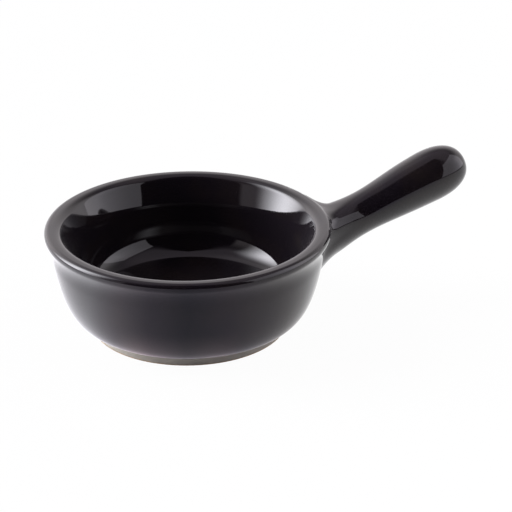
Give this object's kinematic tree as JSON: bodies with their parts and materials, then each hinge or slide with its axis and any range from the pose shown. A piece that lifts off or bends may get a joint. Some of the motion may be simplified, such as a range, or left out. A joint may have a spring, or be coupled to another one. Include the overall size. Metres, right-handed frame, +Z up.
{
  "type": "mini casserole dish",
  "caption": "Small round casserole dish in black glazed ceramic, with a rolled lip, a stepped foot and a rounded handle that rises from one side.",
  "frame": {"origin": "on the bowl's axis, in the plane that the foot ring stands on", "axes": "+Z up along the bowl's axis, +X towards the handle's tip, +Y to the left of the handle seen from the bowl"},
  "size_m": [0.155, 0.1, 0.054],
  "materials": {
    "fired_clay": "bare fired stoneware, matt and slightly grainy, seen only at the foot's edge",
    "clay_slip": "fired joining slip, matt, hidden under the glaze",
    "black_glaze": "smooth high-gloss black glaze"
  },
  "bodies": {
    "root": {"bowl_clay": "fired_clay", "handle_clay": "fired_clay", "handle_slip": "clay_slip", "inside_glaze": "black_glaze", "outside_glaze": "black_glaze", "handle_glaze": "black_glaze", "underside_glaze": "black_glaze"}
  },
  "joints": []
}
